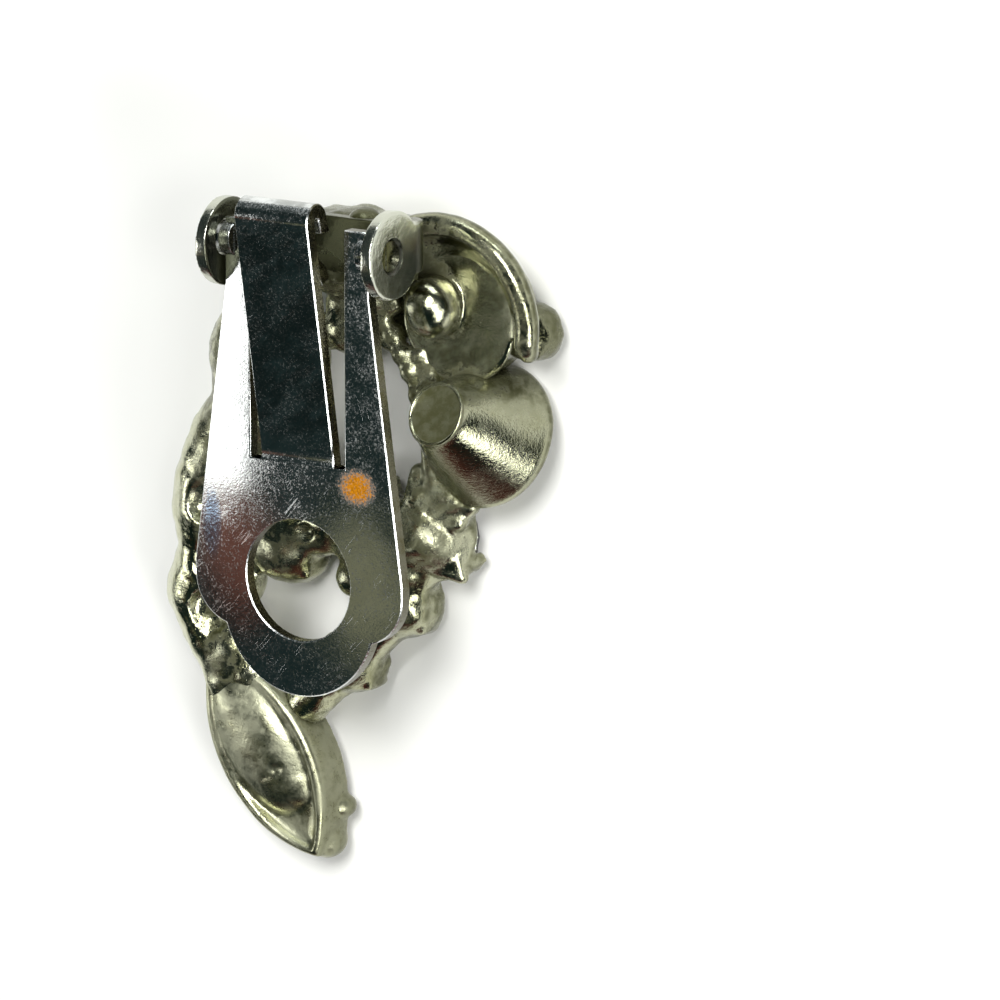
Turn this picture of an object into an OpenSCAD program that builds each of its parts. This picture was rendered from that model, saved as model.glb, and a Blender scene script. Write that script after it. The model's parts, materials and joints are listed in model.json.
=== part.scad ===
// Clip-on earring, a cluster of cut stones in an open cast setting, lying on its stones.
// +Z is the clip side, +Y the hinge end. Lengths are in millimetres.

/* [Paddle] */
// Half width of the paddle at its widest
paddle_half_w = 5.6; // [5:0.1:6.2]
// Half width across the two side arms at the hinge
arm_half_w = 3.85; // [3.7:0.05:3.9]
// Distance from the hinge down to the middle of the round hole
hole_drop = 15.2; // [14.8:0.1:15.5]
// Diameter of the round hole
hole_d = 5.6; // [5:0.05:6]
// Thickness of the stamped sheet
sheet_t = 0.65; // [0.5:0.05:0.8]
// Width of the centre tongue
tongue_w = 3.9; // [3.4:0.1:4.2]
// Width of the slot on each side of the tongue
slot_w = 0.6; // [0.4:0.05:0.8]
// Rise of the tongue's folded top above the arms
tongue_rise = 2; // [1.6:0.1:2.2]

/* [Hinge] */
// Height of the pivot above the surface
pivot_z = 8.2; // [8:0.1:8.6]
// Radius of the round ears
ear_r = 2; // [1.9:0.05:2.1]
// Thickness of the ears and the cross bar
ear_t = 0.55; // [0.5:0.05:0.6]
// Distance from the middle to the inner face of an ear
ear_in = 4.2; // [4.15:0.05:4.4]
// Radius of the pivot holes
pivot_bore_r = 0.85; // [0.7:0.05:1]
// Radius of the nibs that turn in them
nib_r = 0.75; // [0.6:0.05:0.8]

/* [Setting] */
// Height of the setting's front edge above the surface
front_z = 0.8; // [0.7:0.05:0.9]
// Height of the open frame's back
frame_back_z = 2.6; // [2.4:0.1:3]
// Radius of the ring cup to the middle of its half-ring
ring_r = 4.5; // [4.2:0.1:4.8]
// Radius of the half-ring's round section
ring_bead_r = 0.5; // [0.4:0.05:0.6]
// Tilt of the cone cup towards the hinge
cone_tilt = 23; // [20:1:26]
// Half length of the navette cup's rim
navette_half_l = 5.4; // [5.3:0.1:5.6]
// Half width of the navette cup's rim
navette_half_w = 2.85; // [2.75:0.05:3]

/* [Stones] */
// Height of the stones' girdles above the surface
girdle_z = 0.95; // [0.9:0.01:1]
// Clearance between a stone and its seat
stone_gap = 0.1; // [0.07:0.01:0.12]
// Table width as a share of the stone's width
table_share = 0.56; // [0.5:0.01:0.62]
// Pavilion depth as a share of the stone's radius
pavilion_share = 0.55; // [0.45:0.01:0.6]

/* [Hidden] */
$fn = 48;

// The finished part is moved by this much, so that the origin is under the middle of its box
origin_x = 0.35;
origin_y = 13.66;

girdle_t = 0.15;
eps = 0.01;

// Columns of the round cups: x, y, rim radius, back radius, back height, stone radius, table height
CX = 0;
CY = 1;
RIM = 2;
BACK_R = 3;
BACK_Z = 4;
STONE_R = 5;
TABLE_Z = 6;
top_cup = [-0.8, -1.25, 2.1, 1.5, 5.3, 1.7, 0.2];
bead_cup = [-0.95, -4.75, 1.5, 0.9, 3.4, 1.05, 0.4];
upper_left_cup = [-5.5, -6.1, 2.8, 1.8, 4.5, 2.3, 0];
left_mid_cup = [-8.05, -13.2, 2.65, 1.6, 4.1, 2.1, 0];
left_low_cup = [-9, -18.3, 2.15, 1.2, 3.6, 1.5, 0.3];
centre_cup = [-0.9, -13.3, 2.3, 1.3, 3.3, 1.75, 0.2];
centre_left_cup = [-4.8, -15.4, 2, 1.2, 3.2, 1.45, 0.3];
right_mid_cup = [3.45, -14, 2.25, 1.4, 3.7, 1.75, 0];
right_low_cup = [1.6, -17.3, 1.8, 1.1, 3.5, 1.3, 0.3];
right_end_cup = [-1.2, -20.4, 1.6, 1, 3.4, 1.15, 0.35];
stub_cup = [8.3, -4.1, 1.4, 0.9, 2.9, 0.75, 0.4];
round_cups = [
    top_cup, bead_cup, upper_left_cup, left_mid_cup, left_low_cup, centre_cup,
    centre_left_cup, right_mid_cup, right_low_cup, right_end_cup, stub_cup
];

// The ring cup flares towards the back and carries the half-ring there
ring_at = [5.4, -3.55];
ring_front_r = 2.8;
ring_stone_r = 2.05;
ring_wall_z = 3.7;
ring_bead_z = 4.35;
ring_floor_z = 2.9;
ring_arc = [-24, 168];
dome_at = [4.5, -3.25, 3.7];
dome_r = 1.4;

// The cone cup: rim centre at the girdle's height, then its radii and its height along its own axis
cone_at = [6.25, -9, 1.72];
cone_rim_r = 3.25;
cone_end_r = 1.45;
cone_h = 4.1;
cone_side_tilt = -7;
cone_stone_r = 2.7;
cone_crown_h = 0.75;
cone_rim_out = 0.35;

// The navette cup's centre, turn and the half sizes of its stone and of its pillow back
navette_at = [-5.45, -25.2];
navette_turn = 33;
navette_stone = [4.75, 2.2];
navette_rim_z = 2.95;
pillow_half_l = 4.6;
pillow_r = 2.2;
pillow_axis_z = 1.75;

// The frame's webs: from, to, width
cone_foot = [5.7, -9.2];
left_bank = [-7, -9.9];
left_bank_r = 2.4;
navette_top = [-7.5, -22.3];
navette_side = [-3.9, -22.6];
webs = [
    [top_cup, bead_cup, 2.4],
    [bead_cup, upper_left_cup, 2.2],
    [upper_left_cup, left_bank, 4.2],
    [left_bank, left_mid_cup, 4.6],
    [left_mid_cup, left_low_cup, 4],
    [left_low_cup, navette_top, 3.2],
    [left_mid_cup, centre_left_cup, 2.8],
    [centre_left_cup, centre_cup, 2.8],
    [centre_cup, right_mid_cup, 3.6],
    [right_mid_cup, right_low_cup, 3],
    [right_low_cup, right_end_cup, 2.6],
    [right_end_cup, navette_side, 2.8],
    [top_cup, ring_at, 3.6],
    [bead_cup, ring_at, 2],
    [ring_at, cone_foot, 4],
    [cone_foot, right_mid_cup, 3.6],
    [ring_at, stub_cup, 2.6]
];

// Where the hinge axis and the middles of the bracket and the paddle lie over the setting
hinge_y = 0.11;
bracket_x = 0.61;
paddle_x = 0.41;

// Each ear's side, and where its middle sits from the pivot along y and z
ears = [[-1, -0.25, -0.35], [1, 0, -0.2]];

prong_r = 0.42;
prong_out = 0.25;
prong_front_z = 0.42;
bar_top_z = 5.7;
bar_front_y = -1.6;
bar_back_y = 0.95;
neck_half_w = 1.15;
neck_y = 0.1;
bend_r = 0.9;
arm_end_y = 1;
hinge_arm_y = -2;
side_turn_y = -14.9;
shoulder_r = 2.2;
lobe_half_w = 3.85;
lobe_r = 4.1;
lobe_drop = 16.45;
slot_end_y = -9.85;

// Point of a round or navette outline with half sizes a and b, at angle t
function outline(a, b, t) =
    a == b
    ? [a * cos(t), a * sin(t)]
    : let (big = (a * a + b * b) / (2 * b), x = a * cos(t))
      [x, sign(sin(t)) * (sqrt(max(0, big * big - x * x)) - (big - b))];

// A cut stone, table down: eight table points, sixteen round the girdle twice, and the culet
module cut_stone(a, b, table_z, crown_h, grow = 0) {
    share = table_share;
    depth = pavilion_share * min(a, b);
    table = [for (i = [0:7]) let (p = outline(a, b, 45 * i)) [share * p[0], share * p[1], table_z]];
    upper = [for (i = [0:15]) let (p = outline(a + grow, b + grow, 22.5 * i))
        [p[0], p[1], table_z + crown_h]];
    lower = [for (p = upper) [p[0], p[1], p[2] + girdle_t]];
    culet = [[0, 0, table_z + crown_h + girdle_t + depth]];
    faces = concat(
        [[for (i = [0:7]) i]],
        [for (i = [0:7]) [i, 8 + 2 * i, 9 + 2 * i]],
        [for (i = [0:7]) [i, 9 + 2 * i, (i + 1) % 8]],
        [for (i = [0:7]) [(i + 1) % 8, 9 + 2 * i, 8 + (2 * i + 2) % 16]],
        [for (i = [0:15]) [8 + i, 24 + i, 24 + (i + 1) % 16, 8 + (i + 1) % 16]],
        [for (i = [0:15]) [24 + i, 40, 24 + (i + 1) % 16]]
    );
    polyhedron(points = concat(table, upper, lower, culet), faces = faces);
}

// The hollow that a round stone sits in, open at the front
module round_seat(r, table_z, crown_h) {
    girdle = table_z + crown_h;
    table_r = table_share * r + stone_gap;
    slope = (r + stone_gap - table_r) / crown_h;
    rotate_extrude()
        polygon([
            [0, table_z - 1],
            [table_r, table_z - 1],
            [table_r, table_z - eps],
            [table_r + slope * (crown_h - stone_gap), girdle - stone_gap],
            [r + stone_gap, girdle - stone_gap],
            [r + stone_gap, girdle + girdle_t + stone_gap / 2],
            [0.2, girdle + girdle_t + pavilion_share * r + stone_gap],
            [0, girdle + girdle_t + pavilion_share * r + stone_gap]
        ]);
}

// A cup with a rounded back: radius and height follow a quarter of an ellipse
module cup_body(rim_r, back_r, back_z) {
    steps = 5;
    bulge = [for (i = [0:steps]) let (t = 90 * i / steps)
        [back_r + (rim_r - back_r) * cos(t), frame_back_z - 0.6 + (back_z - frame_back_z + 0.6) * sin(t)]];
    rotate_extrude()
        polygon(concat([[0, front_z], [rim_r, front_z]], bulge, [[0, back_z]]));
}

// Flat web between two cups, as an outline
module web_outline(a, b, w) {
    d = [b[CX] - a[CX], b[CY] - a[CY]];
    n = [-d[1], d[0]] / norm(d) * w / 2;
    polygon([
        [a[CX] + n[0], a[CY] + n[1]],
        [b[CX] + n[0], b[CY] + n[1]],
        [b[CX] - n[0], b[CY] - n[1]],
        [a[CX] - n[0], a[CY] - n[1]]
    ]);
}

module navette_outline(half_l, half_w) {
    big = (half_l * half_l + half_w * half_w) / (2 * half_w);
    intersection() {
        translate([0, big - half_w])
            circle(r = big, $fn = 96);
        translate([0, half_w - big])
            circle(r = big, $fn = 96);
    }
}

module at_navette() {
    translate([navette_at[0], navette_at[1], 0])
        rotate([0, 0, navette_turn - 90])
            children();
}

module at_cone() {
    translate(cone_at)
        rotate([-cone_tilt, cone_side_tilt, 0])
            children();
}

// Webs and cups at the height of the open frame
module frame_plate() {
    translate([0, 0, front_z])
        linear_extrude(height = frame_back_z - front_z)
        {
            for (w = webs)
                web_outline(w[0], w[1], w[2]);
            translate(left_bank)
                circle(r = left_bank_r);
        }
}

module ring_cup() {
    translate([ring_at[0], ring_at[1], 0]) {
        rotate_extrude()
            polygon([
                [0, front_z],
                [ring_front_r, front_z],
                [ring_front_r + 0.45, 1.9],
                [ring_r, ring_wall_z - 0.2],
                [ring_r - 0.05, ring_wall_z],
                [ring_r - 0.45, ring_wall_z],
                [3, ring_floor_z + 0.15],
                [0, ring_floor_z]
            ]);
        rotate([0, 0, ring_arc[0]])
            rotate_extrude(angle = ring_arc[1] - ring_arc[0])
                translate([ring_r - 0.25, ring_wall_z - 0.3])
                    square([0.45, ring_bead_z - ring_wall_z + 0.3]);
        rotate([0, 0, ring_arc[0]])
            rotate_extrude(angle = ring_arc[1] - ring_arc[0])
                translate([ring_r, ring_bead_z])
                    circle(r = ring_bead_r + 0.05);
    }
    translate(dome_at)
        sphere(r = dome_r);
}

module cone_cup() {
    at_cone() {
        cylinder(h = cone_h, r1 = cone_rim_r, r2 = cone_end_r);
        translate([0, 0, -cone_rim_out])
            cylinder(h = 0.75, r = cone_rim_r + 0.08);
    }
}

module navette_cup() {
    steps = 8;
    profile = [for (i = [0:steps]) let (t = 180 * i / steps)
        [max(0.2, pillow_r * sin(t)), -pillow_half_l * cos(t)]];
    at_navette() {
        translate([0, 0, front_z])
            linear_extrude(height = navette_rim_z - front_z)
                navette_outline(navette_half_l, navette_half_w);
        intersection() {
            translate([0, 0, pillow_axis_z])
                rotate([0, 90, 0])
                    rotate_extrude()
                        polygon(concat([[0, -pillow_half_l]], profile, [[0, pillow_half_l]]));
            translate([-pillow_half_l - 1, -pillow_r - 1, front_z + 0.5])
                cube([2 * pillow_half_l + 2, 2 * pillow_r + 2, 5]);
        }
    }
}

// Four short prongs round each stone
module prongs() {
    translate([0, 0, prong_front_z])
        linear_extrude(height = frame_back_z - prong_front_z - 0.5) {
            for (c = round_cups)
                for (q = [0:3])
                    translate([c[CX], c[CY]])
                        rotate(45 + 90 * q)
                            translate([c[STONE_R] + prong_out, 0])
                                circle(r = prong_r, $fn = 24);
            for (q = [0:5])
                translate(ring_at)
                    rotate(30 + 60 * q)
                        translate([ring_stone_r + prong_out, 0])
                            circle(r = prong_r, $fn = 24);
            translate([navette_at[0], navette_at[1]])
                rotate(navette_turn - 90)
                    for (x = [-2.6, 2.6], s = [-1, 1])
                        translate([x, s * (navette_stone[1] - 0.42)])
                            circle(r = prong_r, $fn = 24);
        }
}

module stone_seats() {
    for (c = round_cups)
        translate([c[CX], c[CY], 0])
            round_seat(c[STONE_R], c[TABLE_Z], girdle_z - c[TABLE_Z]);
    translate([ring_at[0], ring_at[1], 0])
        round_seat(ring_stone_r, 0, girdle_z);
    at_cone() {
        round_seat(cone_stone_r, -cone_crown_h, cone_crown_h);
        translate([0, 0, -cone_rim_out - 3])
            cylinder(h = 3, r = cone_stone_r);
    }
    at_navette() {
        translate([0, 0, -eps])
            linear_extrude(height = girdle_z - stone_gap)
                navette_outline(navette_stone[0] - 0.75, navette_stone[1] - 0.45);
        translate([0, 0, girdle_z - stone_gap - 2 * eps])
            linear_extrude(height = girdle_t + 2 * stone_gap)
                navette_outline(navette_stone[0] + 0.2, navette_stone[1] + stone_gap);
        translate([0, 0, girdle_z + girdle_t])
            cut_stone(navette_stone[0] + 0.15, navette_stone[1] + stone_gap, -1.2, 1.2, 0);
    }
}

// Cross bar bent up at both ends into the two round ears
module bracket_blank() {
    outer = ear_in + ear_t;
    translate([0, neck_y + neck_half_w, 0])
        rotate([90, 0, 0])
            linear_extrude(height = 2 * neck_half_w)
                difference() {
                    union() {
                        translate([-outer + bend_r, bar_top_z - ear_t])
                            square([2 * outer - 2 * bend_r, bend_r]);
                        translate([-outer, bar_top_z - ear_t + bend_r])
                            square([2 * outer, pivot_z - bar_top_z + ear_t - bend_r]);
                        for (s = [-1, 1])
                            translate([s * (outer - bend_r), bar_top_z - ear_t + bend_r])
                                circle(r = bend_r);
                    }
                    translate([-ear_in + bend_r - ear_t, bar_top_z])
                        square([2 * (ear_in - bend_r + ear_t), pivot_z]);
                    translate([-ear_in, bar_top_z + bend_r - ear_t])
                        square([2 * ear_in, pivot_z]);
                    for (s = [-1, 1])
                        translate([s * (ear_in - bend_r + ear_t), bar_top_z + bend_r - ear_t])
                            circle(r = bend_r - ear_t);
                }
    translate([-outer + bend_r, bar_front_y, bar_top_z - ear_t])
        cube([2 * (outer - bend_r), bar_back_y - bar_front_y, ear_t]);
    for (e = ears)
        translate([e[0] * (ear_in + ear_t / 2), e[1], pivot_z + e[2]])
            rotate([0, 90, 0])
                cylinder(h = ear_t, r = ear_r, center = true);
}

module setting() {
    color("silver")
        difference() {
            union() {
                frame_plate();
                for (c = round_cups)
                    translate([c[CX], c[CY], 0])
                        cup_body(c[RIM], c[BACK_R], c[BACK_Z]);
                ring_cup();
                cone_cup();
                navette_cup();
                prongs();
                translate([bracket_x, hinge_y, 0])
                    bracket_blank();
            }
            stone_seats();
            translate([bracket_x - ear_in - ear_t - 1, hinge_y, pivot_z])
                rotate([0, 90, 0])
                    cylinder(h = 2 * (ear_in + ear_t + 1), r = pivot_bore_r);
        }
}

// Flat outline of the paddle, before the slots and the hole
module paddle_outline() {
    shoulder_y = side_turn_y - 0.6;
    notch_y = -lobe_drop - 1.25;
    polygon([
        [-arm_half_w, arm_end_y],
        [-arm_half_w, hinge_arm_y],
        [-paddle_half_w, side_turn_y],
        [-paddle_half_w, shoulder_y],
        [-paddle_half_w + shoulder_r, shoulder_y],
        [-lobe_half_w, notch_y],
        [lobe_half_w, notch_y],
        [paddle_half_w - shoulder_r, shoulder_y],
        [paddle_half_w, shoulder_y],
        [paddle_half_w, side_turn_y],
        [arm_half_w, hinge_arm_y],
        [arm_half_w, arm_end_y]
    ]);
    for (s = [-1, 1])
        translate([s * (paddle_half_w - shoulder_r), shoulder_y])
            circle(r = shoulder_r);
    translate([0, -lobe_drop])
        circle(r = lobe_r);
}

// Band of even thickness along a path in the plane
function side_step(p, i) =
    let (a = p[max(0, i - 1)], b = p[min(len(p) - 1, i + 1)], d = (b - a) / norm(b - a))
    [-d[1], d[0]];

module band(path, t) {
    last = len(path) - 1;
    polygon(concat(
        [for (i = [0:last]) path[i] + side_step(path, i) * t / 2],
        [for (i = [last:-1:0]) path[i] - side_step(path, i) * t / 2]
    ));
}

// The tongue rises from the paddle, folds over at its top and comes back as the spring leg
module tongue() {
    fold_r = 0.48;
    fold_y = 1.5;
    slope = atan(tongue_rise / (fold_y - slot_end_y - 1));
    fold_z = tongue_rise - fold_r;
    fold = [for (t = [90 + slope:-9:-80])
        [fold_y + fold_r * cos(t), fold_z + fold_r * sin(t)]];
    path = concat(
        [[slot_end_y - 1.2, 0], [slot_end_y + 0.3, 0], [slot_end_y + 1, 0.1]],
        fold,
        [[1, fold_z - fold_r - 0.15], [0.6, fold_z - fold_r - 0.4], [-1.5, -1.65], [-1.95, -1.85]]
    );
    difference() {
        translate([-tongue_w / 2, 0, pivot_z])
            rotate([90, 0, 90])
                linear_extrude(height = tongue_w)
                    band(path, sheet_t);
        // The spring leg is narrower than the tongue
        for (x = [-3.35, 0.15])
            translate([x, 0, pivot_z])
                rotate([90, 0, 90])
                    linear_extrude(height = 2)
                        polygon([[-3, -3], [-3, 0.7], [0.9, 1.4], [0.9, -3]]);
    }
}

module clip_paddle() {
    color("gainsboro")
        translate([paddle_x, hinge_y, 0]) {
        difference() {
            translate([0, 0, pivot_z - sheet_t / 2])
                linear_extrude(height = sheet_t)
                    difference() {
                        paddle_outline();
                        translate([-tongue_w / 2 - slot_w, slot_end_y])
                            square([tongue_w + 2 * slot_w, 20]);
                    }
            translate([0, -hole_drop, pivot_z - 2])
                cylinder(h = 4, r = hole_d / 2);
        }
        tongue();
        for (s = [-1, 1])
            nib(s);
    }
}

// One pivot nib, from inside the arm's edge to just under the ear's outer face
module nib(s) {
    root = s * (arm_half_w - 0.5);
    tip = bracket_x - paddle_x + s * (ear_in + ear_t - 0.12);
    translate([min(root, tip), 0, pivot_z])
        rotate([0, 90, 0])
            cylinder(h = abs(tip - root), r = nib_r);
}

// A stone in its cup, by the cup's row
module cup_stone(c) {
    color("aliceblue")
        translate([c[CX], c[CY], 0])
            cut_stone(c[STONE_R], c[STONE_R], c[TABLE_Z], girdle_z - c[TABLE_Z]);
}

module stone_ring() {
    color("aliceblue")
        translate([ring_at[0], ring_at[1], 0])
            cut_stone(ring_stone_r, ring_stone_r, 0, girdle_z);
}

module stone_cone() {
    color("aliceblue")
        at_cone()
            cut_stone(cone_stone_r, cone_stone_r, -cone_crown_h, cone_crown_h);
}

module stone_navette() {
    color("aliceblue")
        at_navette()
            cut_stone(navette_stone[0], navette_stone[1], 0, girdle_z);
}

module placed() {
    translate([origin_x, origin_y, 0])
        children();
}

placed() setting();
placed() clip_paddle();
placed() stone_ring();
placed() stone_cone();
placed() stone_navette();
placed() cup_stone(top_cup);  // stone_top
placed() cup_stone(bead_cup);  // stone_bead
placed() cup_stone(upper_left_cup);  // stone_upper_left
placed() cup_stone(left_mid_cup);  // stone_left_mid
placed() cup_stone(left_low_cup);  // stone_left_low
placed() cup_stone(centre_cup);  // stone_centre
placed() cup_stone(centre_left_cup);  // stone_centre_left
placed() cup_stone(right_mid_cup);  // stone_right_mid
placed() cup_stone(right_low_cup);  // stone_right_low
placed() cup_stone(right_end_cup);  // stone_right_end
placed() cup_stone(stub_cup);  // stone_stub
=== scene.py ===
import json
import math

import bpy
from bpy.props import FloatProperty, FloatVectorProperty, IntProperty, PointerProperty
from mathutils import Matrix, Vector
from mathutils.bvhtree import BVHTree

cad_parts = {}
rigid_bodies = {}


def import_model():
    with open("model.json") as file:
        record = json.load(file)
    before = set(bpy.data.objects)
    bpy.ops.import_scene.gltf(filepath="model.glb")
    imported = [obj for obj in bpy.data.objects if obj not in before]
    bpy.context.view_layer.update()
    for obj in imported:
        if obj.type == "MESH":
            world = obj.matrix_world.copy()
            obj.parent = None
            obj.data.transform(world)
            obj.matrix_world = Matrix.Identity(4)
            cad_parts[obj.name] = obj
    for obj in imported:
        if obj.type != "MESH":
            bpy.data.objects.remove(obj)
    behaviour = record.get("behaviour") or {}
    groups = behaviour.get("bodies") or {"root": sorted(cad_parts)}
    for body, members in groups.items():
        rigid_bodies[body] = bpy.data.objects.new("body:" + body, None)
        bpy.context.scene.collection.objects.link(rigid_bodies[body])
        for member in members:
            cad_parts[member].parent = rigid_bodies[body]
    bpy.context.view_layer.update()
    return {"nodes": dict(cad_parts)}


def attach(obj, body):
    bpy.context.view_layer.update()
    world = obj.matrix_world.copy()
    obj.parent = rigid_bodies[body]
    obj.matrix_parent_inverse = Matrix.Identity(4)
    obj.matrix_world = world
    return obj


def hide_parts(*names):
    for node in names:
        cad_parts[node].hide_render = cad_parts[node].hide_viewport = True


bl_info = {
    "name": "Clip-on Cluster Earring",
    "version": (1, 0, 0),
    "blender": (4, 5, 0),
    "location": "View3D > Sidebar > Earring",
    "description": "Dresses the clip-on earring's frame: cast setting, hinge bracket, stamped paddle, stones",
    "category": "Object",
}

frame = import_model()

# Pieces are modelled in millimetres over the setting, and this moves them to the CAD's origin
SHIFT = Vector((0.35, 13.66, 0.0))
# Middle of the hinge's axis
PIVOT = Vector((0.61, 0.11, 8.2))
# Middle of the paddle's hole, from the CAD's origin
HOLE = (0.76, 0.53)

# Cups with a domed back: x, y, rim radius, height of the dome's centre, dome radius
CUPS = {
    "top": (-0.8, -1.25, 2.0, 3.2, 1.9),
    "bead": (-0.95, -4.75, 1.4, 2.1, 1.3),
    "upper_left": (-5.62, -6.45, 2.75, 1.9, 2.8),
    "left_mid": (-8.25, -13.5, 2.5, 1.85, 2.35),
    "left_low": (-9.05, -18.05, 2.05, 1.65, 2.12),
    "centre": (-0.9, -13.3, 2.2, 1.4, 2.05),
    "centre_left": (-4.8, -15.4, 1.98, 1.4, 1.9),
    "right_low": (1.6, -17.3, 1.7, 1.75, 1.62),
    "right_end": (-1.2, -20.4, 1.5, 1.8, 1.45),
    "stub": (8.3, -4.1, 1.38, 1.5, 1.32),
}
# Front stones: x, y, radius, table height
STONES = {
    "top": (-0.8, -1.25, 1.7, 0.2), "bead": (-0.95, -4.75, 1.05, 0.4),
    "upper_left": (-5.5, -6.1, 2.3, 0.0), "left_mid": (-8.05, -13.2, 2.1, 0.0),
    "left_low": (-9.0, -18.3, 1.5, 0.3), "centre": (-0.9, -13.3, 1.75, 0.2),
    "centre_left": (-4.8, -15.4, 1.45, 0.3), "right_mid": (3.45, -14.0, 1.75, 0.0),
    "right_low": (1.6, -17.3, 1.3, 0.3), "right_end": (-1.2, -20.4, 1.15, 0.35),
    "stub": (8.3, -4.1, 0.75, 0.4),
}
# Origins of the three cups that stand apart from the frame's skin
RING = Vector((5.4, -3.55, 0.0))
CONE = Vector((6.25, -9.0, 1.72))
NAVETTE = Vector((-5.45, -25.2, 0.0))
# The cone cup's turn: its flat end leans up the picture and a little to the left
CONE_TURN = Matrix.Rotation(math.radians(-7), 4, "Y") @ Matrix.Rotation(math.radians(-23), 4, "X")
# Heights of the cups' front rims and of the stones' girdles
FRONT_Z = 0.8
GIRDLE_Z = 0.95
# Smallest radius of a turned piece, which ends flat
TIP = 0.02
# The navette's long axis, in degrees
NAVETTE_ANGLE = -57
# How low the frame's prongs reach
LOWEST_Z = 0.62
# The hinge's ears: distance from the middle, radius, thickness and the hole's radius
EAR_X = 4.475
EAR_R = 2.0
EAR_THICK = 0.55
BORE_R = 0.85
# A millimetre in metres
MM = 0.001

# Smooth outer band on the left: x, y, z, radius along its crest
BAND = [
    (-5.66, -6.55, 1.9, 2.7), (-6.1, -8.0, 1.9, 2.2), (-6.51, -9.15, 2.0, 1.95),
    (-7.1, -10.0, 2.0, 1.95), (-7.61, -10.8, 2.0, 2.0), (-7.95, -11.8, 1.95, 2.12),
    (-8.22, -12.84, 1.9, 2.25), (-8.32, -13.95, 1.9, 2.3), (-8.4, -14.9, 1.9, 2.05),
    (-8.43, -15.78, 1.9, 1.9), (-8.75, -16.9, 1.8, 1.95), (-9.06, -18.0, 1.7, 2.08),
    (-8.95, -18.8, 1.75, 1.85), (-8.8, -19.5, 1.8, 1.62), (-8.4, -20.3, 1.8, 1.55),
    (-8.01, -21.0, 1.8, 1.5), (-7.82, -21.9, 1.8, 1.42), (-7.6, -22.6, 1.8, 1.3),
]
# Hollows in the band's back: x, y, z and radii
HOLLOWS = [
    (-7.4, -13.3, 4.3, 1.4, 1.3, 0.85), (-7.6, -16.15, 4.0, 1.2, 1.2, 0.85),
    (-7.9, -18.75, 3.75, 1.15, 1.3, 0.85), (-6.2, -10.4, 4.0, 0.9, 1.3, 0.8),
    (-0.4, -13.9, 3.6, 0.8, 0.6, 0.5), (-3.1, -14.4, 3.2, 0.7, 0.5, 0.7),
]
# Cast webs between the cups: from, to, radius at each end, height of the middle
WEBS = [
    ((-0.8, -1.3), (-0.95, -4.7), 1.2, 1.0, 2.0),
    ((-0.95, -4.75), (-5.3, -5.9), 0.95, 1.1, 1.8),
    ((-8.0, -13.5), (-4.8, -15.4), 1.4, 1.2, 1.8),
    ((-4.8, -15.4), (-0.9, -13.3), 1.3, 1.3, 1.8),
    ((-0.9, -13.3), (3.45, -14.0), 1.4, 1.5, 1.9),
    ((-1.9, -14.3), (0.6, -15.9), 1.1, 1.45, 1.65),
    ((0.7, -15.9), (-0.9, -16.4), 1.3, 1.1, 1.8),
    ((3.0, -14.6), (1.6, -17.3), 1.3, 1.2, 1.9),
    ((1.6, -17.4), (-1.2, -20.4), 1.2, 1.1, 1.8),
    ((-1.2, -20.4), (-3.9, -22.8), 1.05, 1.2, 1.7),
    ((0.0, -1.4), (2.6, -2.2), 1.5, 1.1, 1.8),
    ((-0.8, -4.6), (2.9, -4.2), 0.9, 0.9, 1.7),
    ((4.7, -5.9), (4.9, -9.0), 1.1, 1.4, 1.8),
    ((5.2, -9.6), (3.5, -13.6), 1.5, 1.5, 2.0),
    ((7.9, -3.8), (8.3, -4.1), 1.0, 1.0, 1.7),
]


def wobble(seed):
    """A repeatable number from -1 to 1."""
    return 2 * ((math.sin(seed * 12.9898 + 4.1414) * 43758.5453) % 1.0) - 1


def pick(*pieces):
    """Selects these objects and no others, the last one active."""
    if bpy.context.object and bpy.context.object.mode != "OBJECT":
        bpy.ops.object.mode_set(mode="OBJECT")
    bpy.ops.object.select_all(action="DESELECT")
    for piece in pieces:
        piece.select_set(True)
        bpy.context.view_layer.objects.active = piece


def open_mesh():
    """Enters Edit Mode with all of the active mesh selected."""
    bpy.ops.object.mode_set(mode="EDIT")
    bpy.ops.mesh.select_all(action="SELECT")


def close_mesh():
    """Turns every face outwards and leaves Edit Mode."""
    bpy.ops.mesh.select_all(action="SELECT")
    bpy.ops.mesh.normals_make_consistent(inside=False)
    bpy.ops.object.mode_set(mode="OBJECT")


def apply_place(piece):
    """Puts the object's place, turn and scale into its mesh."""
    pick(piece)
    bpy.ops.object.transform_apply(location=True, rotation=True, scale=True)
    return piece


def ball(at, r, stretch=(1, 1, 1), steps=3):
    """A ball, or an egg where it is stretched."""
    pick()
    bpy.ops.mesh.primitive_ico_sphere_add(subdivisions=steps, radius=r, location=at)
    piece = bpy.context.object
    piece.scale = stretch
    return apply_place(piece)


def rod(a, b, ra, rb, sides=24):
    """A tapered rod with round ends."""
    a, b = Vector(a), Vector(b)
    way = b - a
    pick()
    bpy.ops.mesh.primitive_cone_add(
        vertices=sides, radius1=ra, radius2=rb, depth=way.length,
        location=(a + b) / 2, rotation=way.to_track_quat("Z", "Y").to_euler())
    return [apply_place(bpy.context.object), ball(a, ra), ball(b, rb)]


def block(low, high):
    """A box between two opposite corners."""
    low, high = Vector(low), Vector(high)
    pick()
    bpy.ops.mesh.primitive_cube_add(size=1, location=(low + high) / 2)
    piece = bpy.context.object
    piece.scale = high - low
    return apply_place(piece)


def drum(at, r, depth, turn=(0, 0, 0), sides=48):
    """A round disc or pin."""
    pick()
    bpy.ops.mesh.primitive_cone_add(
        vertices=sides, radius1=r, radius2=r, depth=depth, location=at, rotation=turn)
    return apply_place(bpy.context.object)


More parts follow.
